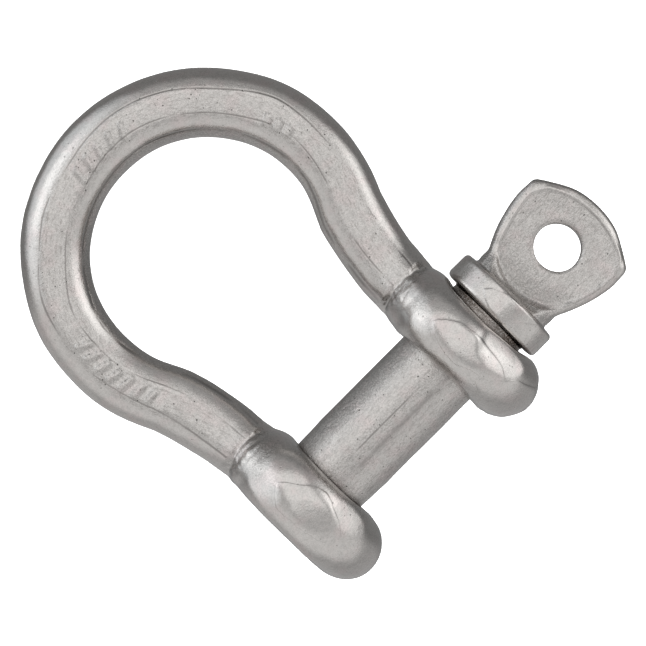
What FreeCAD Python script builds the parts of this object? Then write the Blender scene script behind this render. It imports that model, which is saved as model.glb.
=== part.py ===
import FreeCAD, Part
import math
import os
import Sketcher

# A screw pin bow shackle, as it lies on a table: on both ears and the crown. Millimetres.
# Origin: on the pin's axis, at the middle of the jaw. +X runs along the pin to its eye,
# +Y runs level towards the crown, and +Z is up. Each piece is drawn with the bow's plane
# level, and then leans about X until the crown's underside is as low as the ears'.

SIZES = {
    # the bow: a round bar bent to an omega, with an ear on each end
    "crown_diameter": (6.4, "bar at the crown, nominal 1/4 inch"),
    "limb_diameter": (5.7, "bar where it runs into an ear"),
    "bow_radius": (13.8, "centreline radius of the round part"),
    "bow_height": (22.1, "pin axis to the centre of the round part"),
    "limb_offset": (10.2, "centre plane to the middle of a limb and of its ear"),
    "limb_end": (5.2, "pin axis to the end of the bar, inside the ear"),
    "ear_thickness": (6.6, "ear across its faces, at mid height"),
    "ear_diameter": (16.8, "ear over its round rim"),
    "ear_draft": (3.5, "degrees that each face of an ear leans in, above and below"),
    "ear_land": (1.0, "half the height of the upright band between the drafts"),
    "plain_hole_diameter": (8.8, "hole that the shank slides through"),
    "counterbore_diameter": (8.7, "mouth of the tapped hole, clear of the shank"),
    "counterbore_depth": (1.6, "depth of that mouth"),
    "hole_chamfer": (0.35, "edge break on the holes"),
    # the thread: 5/16-18 UNC, slack as on a cast pin
    "thread_pitch": (1.411, "18 turns to the inch"),
    "thread_diameter": (7.8, "over the pin's crests"),
    "thread_depth": (0.764, "crest to root"),
    "thread_crest": (0.176, "flat on the pin's crest"),
    "thread_slack": (0.16, "how much larger in radius the tapped thread is"),
    "cutter_margin": (0.1, "how far a thread cutter reaches past the metal's surface"),
    # the pin
    "shank_diameter": (8.1, "parallel stretch of the shank"),
    "shank_root_diameter": (8.22, "shank at the collar"),
    "shank_start": (3.5, "jaw centre to where the parallel stretch starts"),
    "nose_start": (6.1, "jaw centre to where the nose starts"),
    "nose_start_diameter": (7.86, "shank there"),
    "nose_end": (7.4, "jaw centre to the end of the nose"),
    "nose_end_diameter": (7.0, "shank there"),
    "relief_end": (8.9, "jaw centre to where the neck ends and the thread starts"),
    "relief_diameter": (6.1, "neck between nose and thread"),
    "tip_end": (13.0, "jaw centre to the end of the pin"),
    "tip_chamfer": (0.6, "lead on the tip"),
    "collar_gap": (0.3, "ear to collar, with the pin backed off a little"),
    "collar_diameter": (10.8, "collar"),
    "collar_thickness": (2.5, "collar"),
    "collar_round": (0.45, "edge radius of the collar"),
    "root_diameter": (8.5, "round root of the eye"),
    "root_parallel": (1.4, "how far the root stays round"),
    "root_length": (3.2, "how far it reaches before it is lost in the flat"),
    "eye_length": (11.3, "collar to the outer end of the eye"),
    "eye_thickness": (4.6, "flat of the eye"),
    "eye_neck_width": (8.0, "eye where it leaves the root"),
    "eye_neck_length": (1.2, "collar to where the sides start to spread"),
    "eye_width": (11.9, "eye across its corners"),
    "eye_shoulder": (9.2, "collar to those corners"),
    "eye_side_radius": (15.0, "round sides of the eye"),
    "eye_crown_radius": (9.4, "outer end of the eye"),
    "eye_corner": (0.9, "corner radius in plan"),
    "eye_edge": (0.8, "edge radius of the flat"),
    "eye_hole_diameter": (4.35, "hole for a lashing or a marlinspike"),
    "eye_hole_offset": (6.06, "collar to the centre of that hole"),
    "eye_hole_round": (0.25, "edge break on that hole"),
    "coin_diameter": (10.3, "round faces pressed into the root, one each side"),
    # the stand-in rod on the pin's axis
    "core_start": (2.0, "jaw centre to the core's end nearer the tip"),
    "core_length": (12.0, "length of the core"),
    "core_diameter": (2.0, "diameter of the core"),
    "core_slack": (0.05, "gap all round the core"),
}

# Sketch numbering: points of an edge, and the two axes.
START, END, CENTRE = 1, 2, 3
ORIGIN_X_AXIS, ORIGIN_Y_AXIS = -1, -2
ORIGIN_POINT = (-1, 1)

# Distances along the pin, written once as sheet expressions.
EAR_INNER = "(sizes.limb_offset - sizes.ear_thickness / 2)"
EAR_OUTER = "(sizes.limb_offset + sizes.ear_thickness / 2)"
COLLAR_INNER = f"({EAR_OUTER} + sizes.collar_gap)"
COLLAR_OUTER = f"({COLLAR_INNER} + sizes.collar_thickness)"
EYE_INSIDE = f"({COLLAR_OUTER} - sizes.collar_thickness / 2)"
THREAD_START = "(sizes.relief_end - sizes.thread_pitch / 2)"
FLANK_SLOPE = "tan(30 deg)"
LEAN = (
    "-asin((sizes.ear_diameter - sizes.crown_diameter) / 2"
    " / (sizes.bow_height + sizes.bow_radius))"
)


def make_sheet(doc):
    """Write every driving size into a spreadsheet, one aliased cell each."""
    sheet = doc.addObject("Spreadsheet::Sheet", "sizes")
    for row, (alias, (value, meaning)) in enumerate(SIZES.items(), start=1):
        sheet.set(f"A{row}", meaning)
        sheet.set(f"B{row}", str(value))
        sheet.setAlias(f"B{row}", alias)
    doc.recompute()


def number(item, expression):
    """What a sheet expression is worth, as a plain number."""
    result = item.evalExpression(expression)
    return float(getattr(result, "Value", result))


def origin_feature(body, role):
    """An origin plane or axis of a body, by its role."""
    return next(item for item in body.Origin.OriginFeatures if item.Role == role)


def new_sketch(body, name, plane="XY_Plane"):
    """A sketch on one of the body's own origin planes."""
    sketch = body.newObject("Sketcher::SketchObject", name)
    sketch.AttachmentSupport = [(origin_feature(body, plane), "")]
    sketch.MapMode = "FlatFace"
    return sketch


def constrain(sketch, kind, *references):
    """Add a constraint that has no size."""
    sketch.addConstraint(Sketcher.Constraint(kind, *references))


def dimension(sketch, kind, references, expression):
    """Add a driving dimension and tie it to the sheet."""
    value = number(sketch, expression)
    index = sketch.addConstraint(Sketcher.Constraint(kind, *references, value))
    sketch.setExpression(f"Constraints[{index}]", expression)


def place_point(sketch, edge, end, x, y):
    """Tie one end of an edge to the sheet, in both directions from the origin."""
    for kind, axis, expression in (
        ("DistanceX", ORIGIN_Y_AXIS, x),
        ("DistanceY", ORIGIN_X_AXIS, y),
    ):
        value = number(sketch, expression)
        if value == 0:
            constrain(sketch, "PointOnObject", edge, end, axis)
        elif value > 0:
            dimension(sketch, kind, (*ORIGIN_POINT, edge, end), expression)
        else:
            dimension(sketch, kind, (edge, end, *ORIGIN_POINT), f"-({expression})")


def arc_between(start, end, radius):
    """The short arc from start to end. A positive radius bulges to the left of the way."""
    chord = end - start
    middle = (start + end) / 2
    left = FreeCAD.Vector(-chord.y, chord.x, 0).normalize()
    half = chord.Length / 2
    rise = abs(radius) - math.sqrt(radius**2 - half**2)
    top = middle + left * math.copysign(rise, radius)
    return Part.Arc(start, top, end)


def outline(sketch, corners, arcs=None):
    """A closed outline. Corners are pairs of sheet expressions. arcs gives, by the number of
    the corner that an edge starts from, its side (+1 left, -1 right) and its radius."""
    arcs = arcs or {}
    points = [
        FreeCAD.Vector(number(sketch, x), number(sketch, y), 0) for x, y in corners
    ]
    first = sketch.GeometryCount
    for corner, start in enumerate(points):
        end = points[(corner + 1) % len(points)]
        if corner in arcs:
            side, radius = arcs[corner]
            edge = arc_between(start, end, side * number(sketch, radius))
        else:
            edge = Part.LineSegment(start, end)
        sketch.addGeometry(edge, False)
    # an arc is always stored counter-clockwise, so one that bulges left runs end to start
    ends = [
        (END, START) if arcs.get(corner, (0, ""))[0] > 0 else (START, END)
        for corner in range(len(points))
    ]
    for corner, (x, y) in enumerate(corners):
        edge = first + corner
        before = (corner - 1) % len(points)
        constrain(
            sketch, "Coincident", first + before, ends[before][1], edge, ends[corner][0]
        )
        place_point(sketch, edge, ends[corner][0], x, y)
    for corner, (_, radius) in arcs.items():
        dimension(sketch, "Radius", (first + corner,), radius)


def turned(body, kind, name, sketch):
    """Turn a profile all the way round the X axis, as metal or as a cut."""
    feature = body.newObject(f"PartDesign::{kind}", name)
    feature.Profile = sketch
    feature.ReferenceAxis = (sketch, ["H_Axis"])
    feature.Angle = 360
    return feature


def cut_thread(body, name, sketch, height):
    """Cut a right-hand thread along -X from a profile."""
    helix = body.newObject("PartDesign::SubtractiveHelix", name)
    helix.Profile = sketch
    helix.ReferenceAxis = (sketch, ["H_Axis"])
    helix.Mode = "pitch-height-angle"
    helix.setExpression("Pitch", "sizes.thread_pitch")
    helix.setExpression("Height", height)
    helix.LeftHanded = False
    helix.Reversed = True
    return helix


def rounded(body, name, radius, keep):
    """Round every edge of the body so far for which keep(edge) is true."""
    base = body.Tip
    chosen = [
        f"Edge{index}" for index, edge in enumerate(base.Shape.Edges, 1) if keep(edge)
    ]
    fillet = body.newObject("PartDesign::Fillet", name)
    fillet.Base = (base, chosen)
    fillet.setExpression("Radius", radius)
    return fillet


def new_body(doc, name):
    """A body whose label names its file."""
    body = doc.addObject("PartDesign::Body", name)
    body.Label = name
    return body


def bow_centreline(body):
    """The bar's middle line: a round crown and, on each side, a reverse bend that ends
    upright in the ear."""
    sketch = new_sketch(body, "centreline")
    radius = number(sketch, "sizes.bow_radius")
    height = number(sketch, "sizes.bow_height")
    offset = number(sketch, "sizes.limb_offset")
    end = number(sketch, "sizes.limb_end")
    drop = height - end
    bend = (drop**2 + offset**2 - radius**2) / (2 * (radius - offset))
    meet = math.asin(drop / (radius + bend))
    up = FreeCAD.Vector(0, 0, 1)
    centre = FreeCAD.Vector(0, height, 0)
    right = FreeCAD.Vector(offset + bend, end, 0)
    left = FreeCAD.Vector(-offset - bend, end, 0)
    circle = Part.Circle(centre, up, radius)
    sketch.addGeometry(Part.ArcOfCircle(circle, -meet, math.pi + meet), False)
    circle = Part.Circle(right, up, bend)
    sketch.addGeometry(Part.ArcOfCircle(circle, math.pi - meet, math.pi), False)
    circle = Part.Circle(left, up, bend)
    sketch.addGeometry(Part.ArcOfCircle(circle, 0, meet), False)
    crown, right_bend, left_bend = 0, 1, 2
    constrain(sketch, "PointOnObject", crown, CENTRE, ORIGIN_Y_AXIS)
    constrain(sketch, "Tangent", crown, START, right_bend, START)
    constrain(sketch, "Tangent", crown, END, left_bend, END)
    constrain(sketch, "Horizontal", right_bend, CENTRE, right_bend, END)
    constrain(sketch, "Horizontal", left_bend, CENTRE, left_bend, START)
    dimension(
        sketch, "DistanceY", (*ORIGIN_POINT, crown, CENTRE), "sizes.bow_height"
    )
    dimension(sketch, "Radius", (crown,), "sizes.bow_radius")
    place_point(sketch, right_bend, END, "sizes.limb_offset", "sizes.limb_end")
    place_point(sketch, left_bend, START, "-sizes.limb_offset", "sizes.limb_end")
    return sketch


def bar_section(body, name, plane, middle_x, middle_y, diameter):
    """A round section of the bar, on an origin plane."""
    sketch = new_sketch(body, name, plane)
    middle = FreeCAD.Vector(number(sketch, middle_x), number(sketch, middle_y), 0)
    radius = number(sketch, f"{diameter} / 2")
    sketch.addGeometry(Part.Circle(middle, FreeCAD.Vector(0, 0, 1), radius), False)
    place_point(sketch, 0, CENTRE, middle_x, middle_y)
    dimension(sketch, "Radius", (0,), f"{diameter} / 2")
    return sketch


def limb_section(body, name, middle_x):
    """The bar's section at the end of a limb, square to the Y axis."""
    sketch = bar_section(body, name, "XZ_Plane", middle_x, "0", "sizes.limb_diameter")
    sketch.setExpression("AttachmentOffset.Base.z", "-sizes.limb_end")
    return sketch


def crown_section(body):
    """The bar's section at the crown, square to the X axis."""
    middle = "sizes.bow_height + sizes.bow_radius"
    return bar_section(
        body, "crown_section", "YZ_Plane", middle, "0", "sizes.crown_diameter"
    )


def ear_profiles(body):
    """Half the section of both ears: flat faces and a fully round rim."""
    sketch = new_sketch(body, "ear_profiles")
    rim = "sizes.ear_thickness / 2"
    flat = f"(sizes.ear_diameter / 2 - {rim})"
    top = "sizes.ear_diameter / 2"
    right = [
        (EAR_INNER, "0"),
        (EAR_INNER, flat),
        ("sizes.limb_offset", top),
        (EAR_OUTER, flat),
        (EAR_OUTER, "0"),
    ]
    left = [(f"-{x}", y) for x, y in right]
    outline(sketch, right, {1: (+1, rim), 2: (+1, rim)})
    outline(sketch, left, {1: (-1, rim), 2: (-1, rim)})
    return sketch


def ear_holes(body):
    """Half the section of both holes: plain on the right, counterbored on the left."""
    sketch = new_sketch(body, "ear_holes")
    plain = "sizes.plain_hole_diameter / 2"
    outline(
        sketch,
        [
            (EAR_INNER, "0"),
            (EAR_INNER, f"{plain} + sizes.hole_chamfer"),
            (f"{EAR_INNER} + sizes.hole_chamfer", plain),
            (f"{EAR_OUTER} - sizes.hole_chamfer", plain),
            (EAR_OUTER, f"{plain} + sizes.hole_chamfer"),
            (EAR_OUTER, "0"),
        ],
    )
    mouth = "sizes.counterbore_diameter / 2"
    core = "(sizes.thread_diameter / 2 - sizes.thread_depth + sizes.thread_slack)"
    rim = f"({core} + sizes.thread_depth)"
    seat = f"({EAR_INNER} + sizes.counterbore_depth)"
    outline(
        sketch,
        [
            (f"-{EAR_INNER}", "0"),
            (f"-{EAR_OUTER}", "0"),
            (f"-{EAR_OUTER}", rim),
            (f"-({EAR_OUTER} - sizes.hole_chamfer)", core),
            (f"-{seat}", core),
            (f"-{seat}", mouth),
            (f"-({EAR_INNER} + sizes.hole_chamfer)", mouth),
            (f"-{EAR_INNER}", f"{mouth} + sizes.hole_chamfer"),
        ],
    )
    return sketch


def draft_wedges(body):
    """Thin wedges that lean each face of the ears, seen along the Y axis."""
    sketch = new_sketch(body, "draft_wedges", "XZ_Plane")
    reach = "(sizes.ear_diameter / 2)"
    rise = f"({reach} - sizes.ear_land)"
    lean = f"({rise} * tan(sizes.ear_draft * 1 deg))"
    for face, inward in ((EAR_INNER, "+"), (EAR_OUTER, "-")):
        for side in ("", "-"):
            for way in ("", "-"):
                wedge = [
                    (f"{side}{face}", f"{way}sizes.ear_land"),
                    (f"{side}{face}", f"{way}{reach}"),
                    (f"{side}({face} {inward} {lean})", f"{way}{reach}"),
                ]
                outline(sketch, wedge)
    return sketch


def tapped_profile(body):
    """The cutter for the tapped hole: one groove, as wide as a crest of the pin's thread."""
    sketch = new_sketch(body, "tapped_profile")
    middle = f"({THREAD_START} - sizes.thread_pitch / 2)"
    outer = "(sizes.thread_diameter / 2 + sizes.thread_slack)"
    reach = "(sizes.thread_depth + sizes.cutter_margin)"
    narrow = "sizes.thread_crest / 2"
    wide = f"({narrow} + {reach} * {FLANK_SLOPE})"
    outline(
        sketch,
        [
            (f"-({middle} + {wide})", f"{outer} - {reach}"),
            (f"-({middle} + {narrow})", outer),
            (f"-({middle} - {narrow})", outer),
            (f"-({middle} - {wide})", f"{outer} - {reach}"),
        ],
    )
    return sketch


def make_bow(doc):
    """The bow, with a plain hole in its right ear and a tapped one in its left ear."""
    body = new_body(doc, "bow")
    pipe = body.newObject("PartDesign::AdditivePipe", "bar")
    pipe.Profile = limb_section(body, "right_section", "sizes.limb_offset")
    left = limb_section(body, "left_section", "-sizes.limb_offset")
    pipe.Transformation = "Multisection"
    pipe.Sections = [(crown_section(body), [""]), (left, [""])]
    pipe.Spine = (bow_centreline(body), [])
    doc.recompute()
    turned(body, "Revolution", "ears", ear_profiles(body))
    drafts = body.newObject("PartDesign::Pocket", "drafts")
    drafts.Profile = draft_wedges(body)
    drafts.setExpression("Length", "sizes.ear_diameter")
    drafts.Midplane = True
    turned(body, "Groove", "holes", ear_holes(body))
    doc.recompute()
    profile = tapped_profile(body)
    height = f"{EAR_OUTER} - {THREAD_START} + 1.5 * sizes.thread_pitch"
    cut_thread(body, "tapped_thread", profile, height)
    doc.recompute()
    return body


def pin_profile(body):
    """Half the section of the pin's round parts, from the tip to the root of the eye."""
    sketch = new_sketch(body, "pin_profile")
    crest = "sizes.thread_diameter / 2"
    root = "sizes.root_diameter / 2"
    taper_start = f"{COLLAR_OUTER} + sizes.root_parallel"
    taper_end = f"{COLLAR_OUTER} + sizes.root_length"
    outline(
        sketch,
        [
            (taper_end, "0"),
            ("-sizes.tip_end", "0"),
            ("-sizes.tip_end", f"{crest} - sizes.tip_chamfer"),
            ("-(sizes.tip_end - sizes.tip_chamfer)", crest),
            ("-sizes.relief_end", crest),
            ("-sizes.relief_end", "sizes.relief_diameter / 2"),
            ("-sizes.nose_end", "sizes.relief_diameter / 2"),
            ("-sizes.nose_end", "sizes.nose_end_diameter / 2"),
            ("-sizes.nose_start", "sizes.nose_start_diameter / 2"),
            ("-sizes.shank_start", "sizes.shank_diameter / 2"),
            (EAR_INNER, "sizes.shank_diameter / 2"),
            (COLLAR_INNER, "sizes.shank_root_diameter / 2"),
            (COLLAR_INNER, "sizes.collar_diameter / 2"),
            (COLLAR_OUTER, "sizes.collar_diameter / 2"),
            (COLLAR_OUTER, root),
            (taper_start, root),
            (taper_end, "sizes.eye_thickness / 2"),
        ],
    )
    return sketch


def pin_thread_profile(body):
    """The cutter for the pin's thread: one groove between two crests."""
    sketch = new_sketch(body, "pin_thread_profile")
    middle = f"({THREAD_START})"
    root = "(sizes.thread_diameter / 2 - sizes.thread_depth)"
    reach = "(sizes.thread_depth + sizes.cutter_margin)"
    flank = f"(sizes.thread_depth * {FLANK_SLOPE})"
    narrow = f"((sizes.thread_pitch - sizes.thread_crest) / 2 - {flank})"
    wide = f"({narrow} + {reach} * {FLANK_SLOPE})"
    outline(
        sketch,
        [
            (f"-({middle} + {wide})", f"{root} + {reach}"),
            (f"-({middle} - {wide})", f"{root} + {reach}"),
            (f"-({middle} - {narrow})", root),
            (f"-({middle} + {narrow})", root),
        ],
    )
    return sketch


def eye_outline(body):
    """The eye in plan: sides that spread from the neck to the corners, and a round end."""
    sketch = new_sketch(body, "eye_outline")
    half_neck = "sizes.eye_neck_width / 2"
    half_width = "sizes.eye_width / 2"
    neck = f"({COLLAR_OUTER} + sizes.eye_neck_length)"
    shoulder = f"({COLLAR_OUTER} + sizes.eye_shoulder)"
    end = f"({COLLAR_OUTER} + sizes.eye_length)"
    outline(
        sketch,
        [
            (EYE_INSIDE, f"-{half_neck}"),
            (neck, f"-{half_neck}"),
            (shoulder, f"-{half_width}"),
            (end, "0"),
            (shoulder, half_width),
            (neck, half_neck),
            (EYE_INSIDE, half_neck),
        ],
        {
            1: (-1, "sizes.eye_side_radius"),
            2: (-1, "sizes.eye_crown_radius"),
            3: (-1, "sizes.eye_crown_radius"),
            4: (-1, "sizes.eye_side_radius"),
        },
    )
    return sketch


def eye_circle(body, name, diameter, level="0"):
    """A circle round the middle of the eye, at a level above or below the bow's plane."""
    sketch = new_sketch(body, name)
    sketch.setExpression("AttachmentOffset.Base.z", level)
    centre = f"{COLLAR_OUTER} + sizes.eye_hole_offset"
    middle = FreeCAD.Vector(number(sketch, centre), 0, 0)
    radius = number(sketch, f"{diameter} / 2")
    sketch.addGeometry(Part.Circle(middle, FreeCAD.Vector(0, 0, 1), radius), False)
    place_point(sketch, 0, CENTRE, centre, "0")
    dimension(sketch, "Radius", (0,), f"{diameter} / 2")
    return sketch


def coin(body, name, level, upward):
    """Press one round face of the eye flat, clearing the root above or below it."""
    pocket = body.newObject("PartDesign::Pocket", name)
    pocket.Profile = eye_circle(body, f"{name}_circle", "sizes.coin_diameter", level)
    pocket.setExpression("Length", "sizes.root_diameter")
    pocket.Reversed = upward


def core_bore(body):
    """Half the section of the closed bore round the core."""
    sketch = new_sketch(body, "core_bore")
    radius = "sizes.core_diameter / 2 + sizes.core_slack"
    start = "-(sizes.core_start + sizes.core_slack)"
    end = "sizes.core_length - sizes.core_start + sizes.core_slack"
    outline(sketch, [(start, "0"), (end, "0"), (end, radius), (start, radius)])
    return sketch


def make_pin(doc):
    """The screw pin: eye, collar, shank and thread in one piece."""
    body = new_body(doc, "screw_pin")
    close = 1e-4
    pad = body.newObject("PartDesign::Pad", "eye")
    pad.Profile = eye_outline(body)
    pad.setExpression("Length", "sizes.eye_thickness")
    pad.Midplane = True
    doc.recompute()

    half_width = number(body, "sizes.eye_width / 2")

    def on_corner(edge):
        box = edge.BoundBox
        upright = box.XLength < close and box.YLength < close
        return upright and abs(abs(box.YMax) - half_width) < close

    rounded(body, "eye_corners", "sizes.eye_corner", on_corner)
    doc.recompute()

    inside = number(body, EYE_INSIDE)

    def on_flat_edge(edge):
        box = edge.BoundBox
        return box.ZLength < close and box.XMax > inside + close

    rounded(body, "eye_edges", "sizes.eye_edge", on_flat_edge)
    doc.recompute()
    turned(body, "Revolution", "round_parts", pin_profile(body))
    coin(body, "upper_coin", "sizes.eye_thickness / 2", True)
    coin(body, "lower_coin", "-sizes.eye_thickness / 2", False)
    doc.recompute()

    def circle_of(alias):
        radius = number(body, f"sizes.{alias} / 2")

        def test(edge):
            circle = isinstance(edge.Curve, Part.Circle)
            return circle and abs(edge.Curve.Radius - radius) < close

        return test

    rounded(body, "collar_rims", "sizes.collar_round", circle_of("collar_diameter"))
    doc.recompute()
    pocket = body.newObject("PartDesign::Pocket", "eye_bore")
    pocket.Profile = eye_circle(body, "eye_hole", "sizes.eye_hole_diameter")
    pocket.Type = "ThroughAll"
    pocket.Midplane = True
    doc.recompute()
    rounded(body, "eye_bore_rims", "sizes.eye_hole_round", circle_of("eye_hole_diameter"))
    doc.recompute()
    turned(body, "Groove", "bore_for_core", core_bore(body))
    doc.recompute()
    profile = pin_thread_profile(body)
    height = "sizes.tip_end - sizes.relief_end + 2 * sizes.thread_pitch"
    cut_thread(body, "pin_thread", profile, height)
    doc.recompute()
    return body


def make_core(doc):
    """The closed-in rod on the pin's axis."""
    core = doc.addObject("Part::Cylinder", "pin_core")
    core.Label = "pin_core"
    core.setExpression("Radius", "sizes.core_diameter / 2")
    core.setExpression("Height", "sizes.core_length")
    along_x = FreeCAD.Rotation(FreeCAD.Vector(0, 1, 0), 90)
    core.Placement = FreeCAD.Placement(FreeCAD.Vector(), along_x)
    core.setExpression("Placement.Base.x", "-sizes.core_start")
    doc.recompute()
    return core


def lay_down(doc, parts):
    """Lean the pieces together about the pin's axis until the bow rests on its crown."""
    for part in parts:
        part.Placement.Rotation = FreeCAD.Rotation(FreeCAD.Vector(1, 0, 0), 1)
        part.setExpression("Placement.Rotation.Angle", LEAN)
    doc.recompute()


def check(doc, parts):
    """Stop if any feature failed or any sub-part isn't one sound solid."""
    for item in doc.Objects:
        if "Invalid" in item.State or "Error" in item.State:
            raise RuntimeError(f"{item.Name} failed: {item.State}")
    for part in parts:
        shape = part.Shape
        if shape.isNull() or not shape.isValid() or len(shape.Solids) != 1:
            raise RuntimeError(f"{part.Label} is not one valid solid")


def main():
    doc = FreeCAD.newDocument("bow_shackle")
    make_sheet(doc)
    bow, pin, core = make_bow(doc), make_pin(doc), make_core(doc)
    lay_down(doc, [bow, pin])
    parts = [bow, pin, core]
    check(doc, parts)
    os.makedirs("parts", exist_ok=True)
    for part in parts:
        part.Shape.exportStep(f"parts/{part.Label}.step")
        box = part.Shape.BoundBox
        print(f"{part.Label}: {part.Shape.Volume:.1f} mm3,", box)


main()
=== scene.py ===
import math

import bmesh
import bpy
import numpy as np
from mathutils import Matrix, Vector


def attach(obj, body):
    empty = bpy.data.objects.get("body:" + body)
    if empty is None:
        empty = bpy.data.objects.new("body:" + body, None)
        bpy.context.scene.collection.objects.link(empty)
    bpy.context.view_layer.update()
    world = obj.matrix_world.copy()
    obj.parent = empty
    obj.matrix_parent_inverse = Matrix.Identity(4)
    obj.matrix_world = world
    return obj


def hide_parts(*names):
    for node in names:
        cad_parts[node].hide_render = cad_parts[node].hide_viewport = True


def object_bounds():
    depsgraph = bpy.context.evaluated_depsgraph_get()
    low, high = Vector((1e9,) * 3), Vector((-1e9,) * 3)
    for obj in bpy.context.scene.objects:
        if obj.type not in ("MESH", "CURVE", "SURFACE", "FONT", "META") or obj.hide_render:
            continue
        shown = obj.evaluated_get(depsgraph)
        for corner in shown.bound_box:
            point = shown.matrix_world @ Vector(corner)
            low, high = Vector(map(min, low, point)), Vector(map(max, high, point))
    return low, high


# The shackle is described flat, in its own millimetres: x along the pin, y towards the
# crown, z towards the viewer. LEAN tips it about X to where it lies on the floor.
CROWN_DIAMETER = 6.4
EAR_DIAMETER = 16.8
EAR_MIDDLE = 10.2
EAR_INSIDE = 6.9
EAR_THICKNESS = 6.6
BOW_RADIUS = 13.8
BOW_HEIGHT = 22.1
LIMB_OFFSET = 10.2
LIMB_END = 5.2
COLLAR_OUTER = 16.3
COIN_RADIUS = 5.55
LEAN = math.asin((EAR_DIAMETER - CROWN_DIAMETER) / 2 / (BOW_HEIGHT + BOW_RADIUS))
MM = 0.001
# How much of the way to its plane each flat is pressed.
FLAT_DEPTH = 0.6
# How many points are worked on at a time, where each is compared with a whole line.
CHUNK = 20000
# Stands for "nowhere near" in the places the material reads.
FAR_OUT = 9

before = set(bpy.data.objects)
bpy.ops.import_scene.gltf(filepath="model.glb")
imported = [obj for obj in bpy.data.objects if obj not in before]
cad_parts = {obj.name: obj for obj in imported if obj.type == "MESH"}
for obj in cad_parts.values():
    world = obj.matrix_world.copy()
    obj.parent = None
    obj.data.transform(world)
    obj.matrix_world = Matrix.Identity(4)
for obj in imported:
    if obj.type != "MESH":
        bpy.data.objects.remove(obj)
cad_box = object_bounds()


def to_flat(points):
    """Row-frame metres to the shackle's own millimetres."""
    c, s = math.cos(LEAN), math.sin(LEAN)
    x, y, z = (points / MM).T
    return np.stack([x, c * y - s * z, s * y + c * z], axis=1)


def to_row(points):
    """The shackle's own millimetres to row-frame metres."""
    c, s = math.cos(LEAN), math.sin(LEAN)
    x, y, z = points.T
    return np.stack([x, c * y + s * z, -s * y + c * z], axis=1) * MM


def ramp(value, low, high):
    """0 below low, 1 above high, smooth between; low may be the greater of the two."""
    t = np.clip((value - low) / (high - low), 0, 1)
    return t * t * (3 - 2 * t)


def waves(points, length, seed, count=24):
    """Smooth noise of about unit size: plane waves of one length in all directions."""
    rng = np.random.default_rng(seed)
    turn = rng.normal(size=(count, 3))
    turn *= 2 * math.pi / length / np.linalg.norm(turn, axis=1, keepdims=True)
    phase = rng.uniform(0, 2 * math.pi, count)
    total = np.zeros(len(points))
    for wave, shift in zip(turn, phase):
        total += np.cos(points @ wave + shift)
    return total * math.sqrt(2 / count)


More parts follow.
